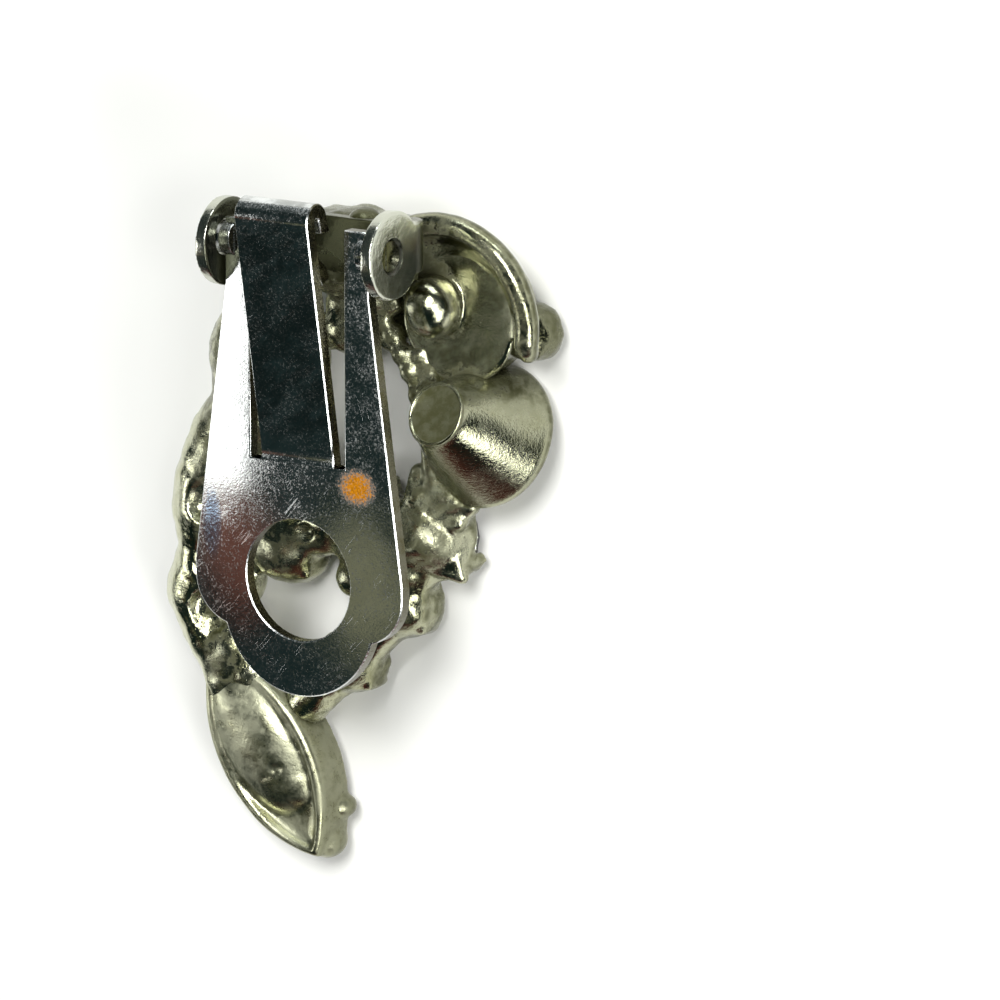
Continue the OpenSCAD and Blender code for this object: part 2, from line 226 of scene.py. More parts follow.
def lathe(profile, sides=64):
    """Turns (radius, height) rows about Z by extruding and resizing a ring, closed at both ends."""
    pick()
    last, z0 = max(profile[0][0], TIP), profile[0][1]
    bpy.ops.mesh.primitive_circle_add(vertices=sides, radius=last, location=(0, 0, z0), fill_type="NGON")
    piece = apply_place(bpy.context.object)
    open_mesh()
    for r, z in profile[1:]:
        r = max(r, TIP)
        bpy.ops.mesh.extrude_region_move(TRANSFORM_OT_translate={"value": (0, 0, z - z0)})
        k = r / last
        bpy.ops.transform.resize(value=(k, k, 1), center_override=(0, 0, z))
        z0, last = z, r
    close_mesh()
    return piece


def sweep(outline, start, arc, steps=64):
    """Swings a closed (radius, height) outline about Z from start through arc degrees, with flat ends."""
    pick()
    bpy.ops.mesh.primitive_circle_add(vertices=len(outline), radius=1)
    piece = bpy.context.object
    for v, (r, z) in zip(piece.data.vertices, outline):
        v.co = (r * math.cos(math.radians(start)), r * math.sin(math.radians(start)), z)
    open_mesh()
    bpy.ops.mesh.spin(steps=steps, angle=-math.radians(arc), center=(0, 0, 0), axis=(0, 0, 1))
    bpy.ops.mesh.select_all(action="DESELECT")
    bpy.ops.mesh.select_non_manifold()
    bpy.ops.mesh.edge_face_add()
    close_mesh()
    return piece


def put(piece, at=(0, 0, 0), turn=(0, 0, 0)):
    """Places and turns a piece."""
    piece.location = at
    piece.rotation_euler = turn
    return apply_place(piece)


def join(pieces, name):
    """Joins the pieces into one object of this name."""
    pick(*pieces)
    bpy.ops.object.join()
    piece = bpy.context.object
    piece.name = name
    piece.data.name = name
    return piece


def modify(piece, kind, **settings):
    """Adds a modifier with these settings and applies it."""
    pick(piece)
    mod = piece.modifiers.new(kind.title(), kind)
    for key, value in settings.items():
        setattr(mod, key, value)
    bpy.ops.object.modifier_apply(modifier=mod.name)
    return piece


def melt(piece, voxel):
    """Melts overlapping solids into one skin."""
    modify(piece, "REMESH", mode="VOXEL", voxel_size=voxel, adaptivity=0.0)


def fuse(piece, voxel, smooth):
    """Melts the solids together and smooths the skin."""
    melt(piece, voxel)
    modify(piece, "SMOOTH", factor=0.5, iterations=smooth)


def lumps(piece, size, height, depth=1):
    """Raises and sinks the skin by a cloud pattern of this size."""
    pattern = bpy.data.textures.new(f"{piece.name}_{size}", "CLOUDS")
    pattern.noise_scale = size
    pattern.noise_depth = depth
    modify(piece, "DISPLACE", texture=pattern, texture_coords="LOCAL", strength=height, mid_level=0.5)


def cut(piece, tool):
    """Takes the tool's shape out of the piece, and the tool out of the file."""
    modify(piece, "BOOLEAN", object=tool, operation="DIFFERENCE", solver="EXACT")
    bpy.data.objects.remove(tool, do_unlink=True)


def round_edges(piece, width, segments, angle, clamp):
    """Bevels the edges sharper than this angle in degrees."""
    modify(piece, "BEVEL", width=width, segments=segments, limit_method="ANGLE",
           angle_limit=math.radians(angle), use_clamp_overlap=clamp)


def smooth_shade(piece, angle=60):
    """Shades smooth, but for edges sharper than this angle in degrees."""
    pick(piece)
    bpy.ops.object.shade_smooth_by_angle(angle=math.radians(angle))


def settle(piece, material, body, slot, *nodes):
    """Brings a finished piece from millimetres over the setting to its place on the CAD."""
    piece.data.transform(Matrix.Scale(MM, 4) @ Matrix.Translation(SHIFT))
    piece.data.materials.clear()
    piece.data.materials.append(material)
    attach(piece, body)
    if nodes:
        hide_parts(*nodes)


def mark_recess(pieces, others, reach=2.2, rays=14):
    """Stores on each vertex how deep in a recess it lies, from 0, open, to 1."""
    trees = []
    for other in list(pieces) + list(others):
        mesh = other.data
        mesh.calc_loop_triangles()
        points = [v.co * 1000 for v in mesh.vertices]
        trees.append(BVHTree.FromPolygons(points, [t.vertices[:] for t in mesh.loop_triangles]))
    golden = math.pi * (3 - math.sqrt(5))
    fan = []
    for i in range(rays):
        up = 0.18 + 0.8 * (i + 0.5) / rays
        side = math.sqrt(1 - up * up)
        fan.append(Vector((side * math.cos(golden * i), side * math.sin(golden * i), up)))
    for own, piece in zip(trees, pieces):
        near = [own] + [t for t in trees if t is not own]
        values = []
        for v in piece.data.vertices:
            spin = v.normal.to_track_quat("Z", "Y")
            start = v.co * 1000 + v.normal * 0.04
            blocked = 0.0
            for ray in fan:
                way = spin @ ray
                for tree in near:
                    hit = tree.ray_cast(start, way, reach)
                    if hit[0] is not None:
                        blocked += 1.0 - 0.6 * hit[3] / reach
                        break
            values.append(blocked / rays)
        old = piece.data.attributes.get("recess")
        if old:
            piece.data.attributes.remove(old)
        piece.data.attributes.new("recess", "FLOAT", "POINT").data.foreach_set("value", values)


class Wire:
    """A node socket that takes part in Python sums."""

    def __init__(self, tree, socket):
        self.tree = tree
        self.socket = socket

    def sum(self, operation, *values):
        return node(self.tree, "ShaderNodeMath", {"operation": operation}, dict(enumerate(values)))

    def __add__(self, other):
        return self.sum("ADD", self, other)

    __radd__ = __add__

    def __sub__(self, other):
        return self.sum("SUBTRACT", self, other)

    def __mul__(self, other):
        return self.sum("MULTIPLY", self, other)

    def size(self):
        return self.sum("ABSOLUTE", self)

    def square(self):
        return self * self

    def least(self, other):
        return self.sum("MINIMUM", self, other)

    def ramp(self, low, high, start=0.0, end=1.0):
        """Smooth step from start to end as this goes from low to high."""
        return node(self.tree, "ShaderNodeMapRange", {"interpolation_type": "SMOOTHSTEP"},
                    {"Value": self, "From Min": low, "From Max": high, "To Min": start, "To Max": end})


def node(tree, kind, settings=None, values=None, output=0):
    """Adds a node with its settings and its sockets' values or wires, and gives one output."""
    made = tree.nodes.new(kind)
    for key, value in (settings or {}).items():
        setattr(made, key, value)
    for key, value in (values or {}).items():
        socket = made.inputs[key]
        if isinstance(value, Wire):
            tree.links.new(value.socket, socket)
        else:
            socket.default_value = value
    return Wire(tree, made.outputs[output])


def blend_colour(tree, share, a, b):
    """Mixes colour a with a share of colour b."""
    a, b = (v if isinstance(v, Wire) else (*v[:3], 1.0) for v in (a, b))
    return node(tree, "ShaderNodeMix", {"data_type": "RGBA"}, {0: share, 6: a, 7: b}, output=2)


def paint(tree, base, colours, coats):
    """Lays coats over the base, each a share and the name of its colour."""
    for share, tone in coats:
        base = blend_colour(tree, share, base, colours[tone])
    return base


def new_material(name):
    material = bpy.data.materials.new(name)
    material.use_nodes = True
    tree = material.node_tree
    tree.nodes.clear()
    return material, tree


def places(tree):
    """Object coordinates in millimetres."""
    return mapping(tree, node(tree, "ShaderNodeTexCoord", output=3), (1000, 1000, 1000))


def mapping(tree, where, scale=(1, 1, 1), turn=0.0):
    return node(tree, "ShaderNodeMapping", {}, {"Vector": where, "Scale": scale, "Rotation": (0, 0, turn)})


def axes(tree, vector):
    """The X, Y and Z of a vector."""
    split = node(tree, "ShaderNodeSeparateXYZ", {}, {"Vector": vector}).socket.node
    return [Wire(tree, out) for out in split.outputs]


def facing(tree):
    """The X, Y and Z of the surface's own direction."""
    return axes(tree, node(tree, "ShaderNodeTexCoord", output=1))


def recess_wire(tree):
    """How deep in a recess the surface lies."""
    return node(tree, "ShaderNodeAttribute", {"attribute_name": "recess"}, output=2)


def cloud(tree, where, scale, detail=3.0, rough=0.5, warp=0.0):
    return node(tree, "ShaderNodeTexNoise", {},
                {"Vector": where, "Scale": scale, "Detail": detail, "Roughness": rough, "Distortion": warp})


def relief(tree, height):
    """Normal from a height in millimetres."""
    return node(tree, "ShaderNodeBump", {}, {"Height": height * MM, "Strength": 1.0, "Distance": 1.0})


def show(tree, surface):
    """Gives the material this surface."""
    tree.links.new(surface.socket, tree.nodes.new("ShaderNodeOutputMaterial").inputs[0])


def finish_shader(tree, settings):
    """Gives the material one shader with these values and wires."""
    show(tree, node(tree, "ShaderNodeBsdfPrincipled", {}, settings))


def cast_metal(name, colours, tarnish_and_shade=1.0, gloss=0.21, grain=0.7, dents=0.8, dim=0.3, ring=None, face=None):
    """Plated casting: satin olive-grey, bright where worn, dark oxide and painted shade in recesses, painted
    shade under the bar, beneath the paddle and on steep sides, grain and pits.

    ring is the middle of a thick half-ring, and face the point and direction of a flat end.
    """
    material, tree = new_material(name)
    here = places(tree)
    x, y, z = axes(tree, here)
    recess = recess_wire(tree)
    broad = cloud(tree, here, 0.5, 4.0, 0.6, 0.4)
    patch = cloud(tree, here, 1.8, 4.0, 0.62, 0.3)
    fine = cloud(tree, here, 7.0, 3.0, 0.6)
    speck = cloud(tree, here, 20.0, 2.0, 0.6)
    # Olive oxide with painted shade in recesses: the recess measure counts the paddle as a cover, and random
    # patches break it up
    dirt_and_shade = (recess * 1.4 + (broad - 0.5) * 0.9 + (patch - 0.5) * 0.7 + (fine - 0.5) * 0.4).ramp(0.2, 0.72)
    deep = (recess + (patch - 0.5) * 0.5).ramp(0.45, 0.9)
    wash = ((broad - 0.5) * 1.4 + (patch - 0.5) * 0.8).ramp(-0.15, 0.4)
    if ring:
        # The thick half-ring is more tarnished than the dish, and its darker colour is partly a painted dark
        # reflection
        out = ((x - ring.x).square() + (y - ring.y).square()).ramp(15.5, 18.5) * z.ramp(3.6, 4.0)
        dirt_and_shade = dirt_and_shade + out * (patch.ramp(0.3, 0.7) * 0.5 + 0.35)
    # Painted shade under the bar and beside the hinge: the metal there is painted darker and made less
    # metallic
    hinge = ((y + (broad - 0.5) * 3).ramp(10.6, 12.8) * (x + (broad - 0.5) * 2).ramp(3.4, 4.6, 1.0, 0.0)
             * z.ramp(1.0, 3.6))
    dirt_and_shade = dirt_and_shade + hinge * 0.8
    if tarnish_and_shade > 0.9:
        # Painted shade on the frame's metal beneath the paddle, darker and less metallic
        paddle_shade = x.ramp(-8.5, -7.8) * x.ramp(6.6, 7.2, 1.0, 0.0) * z.ramp(2.3, 3.1) * y.ramp(-9.0, -8.0)
        dirt_and_shade = dirt_and_shade + paddle_shade * (patch.ramp(0.35, 0.6) * 0.6 + 0.15)
    dirt_and_shade = dirt_and_shade.least(1.0)
    # Painted shade on steep sides: darker olive and less metallic, most of all on the right
    side_shade = facing(tree)[2].size().ramp(0.15, 0.5, 0.9, 0.0) * x.ramp(-4.0, 0.0, 0.35, 1.0)
    oxide = (dirt_and_shade.ramp(0.35, 1.0) * 0.8 * tarnish_and_shade + side_shade * (patch.ramp(0.3, 0.6) * 0.7 + 0.3)).least(0.45)
    base = paint(tree, colours["silver"], colours, (
        (wash * 0.75 * tarnish_and_shade, "champagne"),
        (dirt_and_shade * min(1.0, 0.95 * tarnish_and_shade), "olive"),
        (deep * 0.8 * tarnish_and_shade, "soot_and_shade"),
        (side_shade * (patch.ramp(0.3, 0.65) * 0.5 + 0.5), "olive")))
    if face:
        point, axis = face
        along = (x - point.x) * axis.x + (y - point.y) * axis.y + (z - point.z) * axis.z
        end = along.ramp(-0.08, -0.03) * along.ramp(0.06, 0.1, 1.0, 0.0) * (patch.ramp(0.3, 0.6) * 0.25 + 0.7)
        base = blend_colour(tree, end, base, colours["olive"])
        oxide = oxide + end * 0.75
    # The left side is lighter, the right darker, and the far right boss the darkest
    base = blend_colour(tree, x.ramp(-5.0, 0.0, 0.2, 1.0) * dim, base, colours["olive"])
    if not ring and not face:
        base = blend_colour(tree, x.ramp(8.3, 9.0) * 0.65, base, colours["olive"])
    pits = (fine * -1 + 1).ramp(0.6, 0.72)
    base = blend_colour(tree, pits * 0.4 * tarnish_and_shade, base, colours["soot_and_shade"])
    rough = ((broad * 0.6 + patch * 0.4).ramp(0.36, 0.6, gloss + 0.08, gloss - 0.12)
             + dirt_and_shade * 0.1 + (fine - 0.5) * 0.24)
    height = ((speck - 0.5) * (0.008 * grain) + (fine - 0.5) * (0.016 * grain)
              + (patch - 0.5) * (0.03 * dents) - pits * (0.006 * dents))
    finish_shader(tree, {"Base Color": base, "Metallic": oxide * -1 + 1, "Roughness": rough,
                         "Normal": relief(tree, height)})
    return material


def paddle_steel(colours):
    """Polished stamped steel: speckled grain, stray scratches, a slight crown, tarnished cut edges, painted
    dark, brown, blue and amber reflections, and painted shade on the nibs' ends.
    """
    material, tree = new_material("paddle_steel")
    here = places(tree)
    x, y, z = axes(tree, here)
    out_x, _, out_z = facing(tree)
    side = out_z.size().ramp(0.25, 0.6, 1.0, 0.0)
    # The tongue's fold is polished face, not a cut edge
    side = side * (y.ramp(14.9, 15.2) * out_x.size().ramp(0.3, 0.6, 1.0, 0.0) * -1 + 1)
    corner = (out_z.size() - 0.72).size().ramp(0.1, 0.2, 1.0, 0.0)
    grain = cloud(tree, here, 9.0, 2.0, 0.65)
    speck = cloud(tree, here, 16.0, 2.0, 0.7)
    both = grain * 0.5 + speck * 0.5
    broad = cloud(tree, here, 0.22, 2.0, 0.5)
    patch = cloud(tree, here, 0.9, 3.0, 0.6)
    # Three layers of straight scratches, each from a cloud drawn out along its direction
    scratches = None
    for i, (angle, wide, long) in enumerate(((0.95, 5.0, 0.14), (0.72, 6.0, 0.16), (-0.3, 5.0, 0.12))):
        line = cloud(tree, mapping(tree, mapping(tree, here, turn=angle), (wide, long, 0.0)),
                     0.55 + 0.1 * i, 0.0, 0.3)
        near = (line - 0.5).size().ramp(0.0, 0.006, 1.0, 0.0)
        where = cloud(tree, here, 0.9 + 0.2 * i, 1.0, 0.4, 0.3).ramp(0.6, 0.68)
        scratches = near * where if scratches is None else scratches + near * where
    spots = (grain * 0.6 + speck * 0.4).ramp(0.5, 0.64)
    dull = (patch + (grain - 0.5) * 0.5).ramp(0.45, 0.72)
    tongue_dark_reflection = cloud(tree, mapping(tree, mapping(tree, here, turn=0.9), (1.0, 0.35, 1.0)), 1.1, 5.0, 0.7)
    rim_spots = (both + (x - (y * 0.05 - 2.9)).size().ramp(0.0, 1.1) * 0.16).ramp(0.47, 0.6, 1.0, 0.0)
    # Painted reflections: a warm brown patch left of the hole, a blue one at the left edge, an amber spot by
    # the right slot
    mid_x, mid_y = HOLE
    wash = ((x - (mid_x - 3.2)).square() * 0.16 + (y - (mid_y - 2.4)).square() * 0.1
            + (grain - 0.5) * 1.6).ramp(0.1, 1.3, 1.0, 0.0)
    blue = ((x + 3.9).square() * 2.5 + (y - 0.6).square() * 0.3 + (grain - 0.5)).ramp(0.1, 1.0, 1.0, 0.0)
    spot = ((x - (mid_x + 3.2)).square() * 0.9 + (y - (mid_y + 2.66)).square() * 1.3
            + (grain - 0.5) * 2.0).ramp(0.1, 1.1, 1.0, 0.0)
    # The nibs lie round the hinge's axis, outside the arms
    pin = SHIFT + PIVOT
    off_axis = (z - pin.z).square() + (y - pin.y).square()
    nib = off_axis.ramp(0.7, 0.85, 1.0, 0.0) * (x - mid_x).size().ramp(3.9, 4.1)
    base = paint(tree, blend_colour(tree, dull * 0.35, colours["steel"], colours["steel_dull"]), colours, (
        # Painted dark reflection on the tongue, in clouds
        (tongue_dark_reflection.ramp(0.38, 0.6) * 0.5 * z.ramp(8.4, 8.9), "soot_and_shade"),
        (rim_spots * 0.55 * z.ramp(8.3, 8.6, 1.0, 0.0), "soot_and_shade"),
        (wash * 0.5, "painted_brown_reflection"),
        (blue * 0.55, "blue"),
        (spot, "painted_amber_reflection"),
        (side * (dull * 0.06 + 0.94), "edge_brown"),
        # Painted shade on the nibs' ends inside the ears' holes
        (nib * 0.85, "olive"),
        (corner, "steel")))
    rough = 0.1 + spots * 0.16 + dull * 0.05 + scratches * 0.15 + side * 0.14 + corner * 0.14
    # The sheet is slightly crowned, falls away at its lower end, and its tongue tilts
    low = (y - (mid_y + 3.5)).least(0.0)
    crown = ((x - mid_x).square() * -0.0115 - low.square() * 0.0105
             + z.ramp(8.52, 8.6) * (y - 4.05) * 0.1)
    height = (crown + (broad - 0.5) * 0.03 + (grain - 0.5) * 0.003 + (speck - 0.5) * 0.0026
              + (patch - 0.5) * 0.004 + scratches * 0.0013 - nib * off_axis * 0.55)
    # A thin haze, strongest on the right arm
    arm = x.ramp(3.2, 3.6) * y.ramp(3.6, 5.5)
    haze = both.ramp(0.48, 0.6) * patch.ramp(0.35, 0.6) * (arm * 0.16 + 0.03)
    # The amber painted reflection is also made less metallic, so the lamps light it orange
    metal = spot * (speck.ramp(0.35, 0.6) * -0.3 - 0.32) - haze + 1
    finish_shader(tree, {"Base Color": base, "Metallic": metal, "Roughness": rough,
                         "Normal": relief(tree, height)})
    return material


def bracket_steel(colours):
    """Plated stamped bracket, satin, with a duller bar, oxide and painted shade in its corners, and painted
    shade on the bar under the paddle and on the left ear's inner face.
    """
    material, tree = new_material("bracket_steel")
    here = places(tree)
    x, _, z = axes(tree, here)
    recess = recess_wire(tree)
    broad = cloud(tree, here, 0.7, 4.0, 0.6, 0.3)
    patch = cloud(tree, here, 3.0, 3.0, 0.6)
    fine = cloud(tree, here, 14.0, 2.0, 0.6)
    dirt_and_shade = (recess * 1.3 + (broad - 0.5) * 0.6).ramp(0.15, 0.7)
    # Painted shade: the left ear's inner face is painted the darkest
    ear_shade = facing(tree)[0].ramp(0.3, 0.7) * x.ramp(-3.0, -2.6, 1.0, 0.0)
    base = paint(tree, blend_colour(tree, 0.5, colours["silver"], colours["steel_dull"]), colours, (
        (dirt_and_shade * 0.85 + 0.1, "olive"),
        ((recess + (patch - 0.5) * 0.4).ramp(0.6, 1.0) * 0.7, "soot_and_shade"),
        # Painted shade under the paddle: the bar and what lies below the ears' roots are painted dark olive
        (z.ramp(5.85, 6.5, 0.96, 0.0), "olive"),
        (ear_shade * 0.9, "soot_and_shade")))
    oxide = z.ramp(5.85, 6.5, 0.25, 0.0) + dirt_and_shade * 0.2
    rough = 0.24 + dirt_and_shade * 0.2 + (patch - 0.5) * 0.12
    height = (patch - 0.5) * 0.02 + (fine - 0.5) * 0.003
    finish_shader(tree, {"Base Color": base, "Metallic": oxide * -1 + 1, "Roughness": rough,
                         "Normal": relief(tree, height)})
    return material


def cut_crystal(name, tint, foil):
    """Clear cut stone with a foiled back: glass in front, mirror foil on the pavilion."""
    material, tree = new_material(name)
    smudge = cloud(tree, places(tree), 1.6, 3.0, 0.6)
    glass = node(tree, "ShaderNodeBsdfPrincipled", {}, {
        "Base Color": (*tint, 1.0), "Roughness": 0.02, "IOR": 1.54, "Transmission Weight": 1.0})
    back = node(tree, "ShaderNodeBsdfPrincipled", {}, {
        "Base Color": (*foil, 1.0), "Metallic": 1.0, "Roughness": smudge * 0.2 + 0.06})
    show(tree, node(tree, "ShaderNodeMixShader", {}, {0: facing(tree)[2].ramp(0.15, 0.4), 1: glass, 2: back}))
    return material


def backdrop(colours):
    material, tree = new_material("pale_paper")
    soft = cloud(tree, places(tree), 0.05, 2.0)
    base = blend_colour(tree, soft * 0.2, colours["paper"], colours["paper_shade"])
    finish_shader(tree, {"Base Color": base, "Roughness": 0.9})
    return material


class EarringSizes(bpy.types.PropertyGroup):
    skin: FloatProperty(
        name="Skin size", description="Voxel of the melted casting, in millimetres",
        default=0.14, min=0.1, max=0.4)
    lump: FloatProperty(
        name="Lump height", description="How lumpy the casting is, in millimetres",
        default=0.2, min=0, max=0.8)
    edge: FloatProperty(
        name="Sheet edge", description="Rounding of the paddle's stamped edges, in millimetres",
        default=0.055, min=0.02, max=0.2)
    ring_facets: IntProperty(
        name="Turned sides", description="Sides of the turned cups", default=96, min=24, max=192)


def colour_prop(name, description, default):
    return FloatVectorProperty(
        name=name, description=description, default=default, subtype="COLOR", min=0, max=1)


class EarringColours(bpy.types.PropertyGroup):
    silver: colour_prop("Silver", "Bright plated metal", (0.62, 0.625, 0.46))
    champagne: colour_prop("Champagne", "Warm thin film on the plating", (0.35, 0.35, 0.175))
    # Olive and soot serve oxide and pits, and also painted shade and painted dark reflection: in recesses,
    # under the bar and the paddle, on steep sides, the nibs, the ear's inner face and the tongue
    olive: colour_prop("Olive", "Tarnish in recesses", (0.06, 0.061, 0.023))
    soot_and_shade: colour_prop("Soot", "Deepest recesses", (0.035, 0.038, 0.018))
    steel: colour_prop("Steel", "Polished paddle", (0.80, 0.82, 0.82))
    steel_dull: colour_prop("Dull steel", "Worn paddle", (0.60, 0.62, 0.62))
    # Painted reflections on the paddle, not the steel's own colours: brown left of the hole, amber by the
    # right slot, blue at the left edge
    painted_brown_reflection: colour_prop("Heat brown", "Warm film left of the hole", (0.46, 0.24, 0.19))
    painted_amber_reflection: colour_prop("Amber", "Small heat spot by the right slot", (0.83, 0.31, 0.01))
    blue: colour_prop("Blue", "Faint tint at the paddle's left edge", (0.25, 0.5, 0.82))
    edge_brown: colour_prop("Edge brown", "The sheet's cut edges", (0.075, 0.068, 0.03))
    crystal: colour_prop("Crystal", "Cut stones", (0.95, 0.97, 1.0))
    foil: colour_prop("Foil", "Foil behind the stones", (0.82, 0.84, 0.86))
    paper: colour_prop("Paper", "The pale floor", (0.90, 0.90, 0.89))
    paper_shade: colour_prop("Paper shade", "Faint variation of the floor", (0.86, 0.86, 0.86))


class StageSettings(bpy.types.PropertyGroup):
    scale: FloatProperty(
        name="Picture scale", description="Pixels to a millimetre in a picture 1000 pixels wide",
        default=22.5)
    distance: FloatProperty(
        name="Camera distance", description="From the hinge, in millimetres", default=350.0)
    light: FloatProperty(
        name="Light", description="Strength of all the soft boxes", default=1.0, min=0)


def sizes():
    return bpy.context.scene.earring_sizes


def colours():
    group = bpy.context.scene.earring_colours
    return {key: tuple(getattr(group, key)) for key in EarringColours.__annotations__}


def at_cone(piece):
    """Leans a turned piece into the cone cup's place."""
    piece.data.transform(Matrix.Translation(CONE) @ CONE_TURN)
    return piece


def at_navette(piece):
    """Turns a piece into the navette cup's place."""
    piece.data.transform(Matrix.Translation(NAVETTE) @ Matrix.Rotation(math.radians(NAVETTE_ANGLE), 4, "Z"))
    return piece


def almond(half_l, half_w, steps=24):
    """Points round an almond outline."""
    big = (half_l ** 2 + half_w ** 2) / (2 * half_w)
    rim = []
    for i in range(2 * steps):
        t = math.pi * i / steps
        x = half_l * math.cos(t)
        y = math.sqrt(max(0.0, big * big - x * x)) - (big - half_w)
        rim.append((x, y if t <= math.pi else -y))
    return rim


def seat(stone, table, gap=0.1):
    """The hollow that a round stone sits in."""
    return lathe([(0.62 * stone, -1), (0.62 * stone, table), (stone + gap, GIRDLE_Z - 0.1),
                  (stone + gap, GIRDLE_Z + 0.22), (0.2, GIRDLE_Z + 0.3 + 0.55 * stone)], 40)


def prong(at, lean=(0, 0), tip=0.28, foot=0.34):
    """A short bead-ended prong, from the frame's side down past the stone's edge."""
    at = Vector((at[0], at[1], 0))
    return rod(at + Vector((0, 0, LOWEST_Z)), at + Vector((lean[0], lean[1], 2.0)), tip, foot, 12)


class EARRING_OT_frame_casting(bpy.types.Operator):
    """The lumpy cast frame: domed cups, outer band, webs, solder and prongs, melted into one skin"""
    bl_idname = "earring.frame_casting"
    bl_label = "Frame casting"

    def execute(self, context):
        solids = []
        for n, (a, b, ra, rb, z) in enumerate(WEBS):
            a, b = Vector((*a, z)), Vector((*b, z))
            solids += rod(a, b, ra * 0.9, rb * 0.9)
            steps = max(2, int((b - a).length / 1.1))
            for i in range(steps + 1):
                t = i / steps
                r = ra + (rb - ra) * t
                seed = 31 * n + i
                spot = a.lerp(b, t) + Vector((wobble(seed), wobble(seed + 7), 0.5 * wobble(seed + 13))) * 0.3
                solids.append(ball(spot, r * (0.86 + 0.14 * wobble(seed + 3)), (1, 1, 0.92)))
        for x, y, z, r in BAND:
            solids.append(ball((x, y, z), r * 1.03))
        for a, b in zip(BAND, BAND[1:]):
            spot = [(p + q) / 2 for p, q in zip(a, b)]
            solids.append(ball(spot[:3], spot[3] * 1.01))
        for x, y, rim, dome_z, dome_r in CUPS.values():
            solids.append(ball((x, y, dome_z), dome_r, steps=4))
            solids.append(drum((x, y, (FRONT_Z + dome_z) / 2), rim, dome_z - FRONT_Z))
        flank = lathe([(1.95, 0.0), (2.12, 0.1), (2.12, 0.35), (1.98, 0.9), (1.78, 1.6), (1.5, 2.3),
                       (1.1, 2.85), (0.6, 3.1), (0.1, 3.15)], 56)
        solids.append(put(flank, (3.3, -14.15, 0.9), (math.radians(-17), math.radians(-10), 0)))
        for x, y, stone, _ in STONES.values():
            for q in range(4):
                angle = math.radians(45 + 90 * q)
                way = Vector((math.cos(angle), math.sin(angle)))
                solids += prong(Vector((x, y)) + way * (stone + 0.2))
        for q in range(6):
            angle = math.radians(30 + 60 * q)
            solids += prong((RING.x + 2.3 * math.cos(angle), RING.y + 2.3 * math.sin(angle)))
        # The prongs whose feet show past the rims
        for shown in (((5.15, -15.05), (-0.5, 0.1), 0.36, 0.5), ((2.35, -18.6), (-0.2, 0.3), 0.34, 0.45),
                      ((0.35, -18.9), (-0.1, 0.3), 0.3, 0.42)):
            solids += prong(*shown)
        # Block of metal under the bar, its lobe, and solder round the bracket
        solids.append(block((-2.6, -2.2, 1.2), (3.3, 0.6, 5.1)))
        solids.append(ball((1.55, 0.72, 4.75), 0.9, (0.95, 0.85, 1.0)))
        for x, y, z, r in SOLDER:
            solids.append(ball((x, y, z), r))
        for ridge in RIDGES:
            solids += rod(*ridge)
        piece = join(solids, "frame_casting")
        melt(piece, sizes().skin)
        for x, y, z, rx, ry, rz in HOLLOWS:
            cut(piece, ball((x, y, z), 1, (rx, ry, rz)))
        cut(piece, block((-12, -32, -3), (12, 4, LOWEST_Z)))
        fuse(piece, sizes().skin, 6)
        lumps(piece, 1.5, sizes().lump, depth=2)
        lumps(piece, 0.5, sizes().lump * 0.2)
        for x, y, stone, table in STONES.values():
            cut(piece, put(seat(stone, table, 0.04 if stone < 1 else 0.1), (x, y, 0)))
        cut(piece, put(seat(2.05, 0.0), RING))
        smooth_shade(piece, 60)
        settle(piece, cast_metal("cast_frame_metal", colours()), "setting", "cast_metal", "setting")
        return {"FINISHED"}


# Solder and overflow: x, y, z, radius
SOLDER = [
    (1.2, -3.0, 3.6, 0.55), (1.5, -3.9, 3.2, 0.45), (0.9, -4.3, 3.4, 0.4), (1.6, -5.0, 2.9, 0.45),
    (2.0, -3.1, 3.1, 0.6), (1.9, -2.2, 3.9, 0.6), (4.3, -10.3, 2.7, 0.75), (4.1, -11.3, 2.9, 0.65),
    (3.4, -11.9, 3.1, 0.6), (4.9, -11.9, 2.7, 0.7), (2.7, -12.7, 3.1, 0.55), (5.0, -12.9, 2.5, 0.55),
    (2.6, -15.7, 2.8, 0.5), (0.4, -18.3, 2.6, 0.5), (-0.4, -19.1, 2.7, 0.45), (-2.5, -21.9, 2.4, 0.45),
    (-2.4, -5.2, 2.9, 0.4), (1.9, -4.7, 2.9, 0.6), (2.4, -5.5, 3.0, 0.55), (2.85, -6.3, 3.05, 0.55),
    (3.3, -7.2, 3.1, 0.55), (3.7, -8.0, 3.2, 0.6), (3.3, -5.5, 2.5, 0.75), (3.8, -6.4, 2.5, 0.85),
    (4.3, -7.0, 2.9, 0.8), (5.1, -7.2, 2.9, 0.6), (-7.9, -19.4, 1.9, 1.5), (-7.4, -20.6, 1.9, 1.45),
    (-6.6, -21.6, 1.7, 1.4), (-6.3, -22.3, 1.4, 1.2), (-7.7, -17.4, 1.8, 1.5), (-7.0, -11.8, 1.8, 1.8),
    (-0.2, -15.6, 1.9, 1.2), (-0.6, -15.1, 1.7, 1.1),
]
# Ridges of overflow: from, to, radius at each end
RIDGES = [
    ((3.9, -8.4, 3.2), (4.1, -10.6, 3.0), 0.5, 0.55),
    ((3.2, -10.8, 2.9), (2.6, -13.4, 3.2), 0.4, 0.45), ((4.6, -9.9, 2.6), (5.6, -12.2, 2.3), 0.45, 0.5),
    ((2.6, -15.0, 3.0), (4.9, -15.7, 1.9), 0.3, 0.34),
]


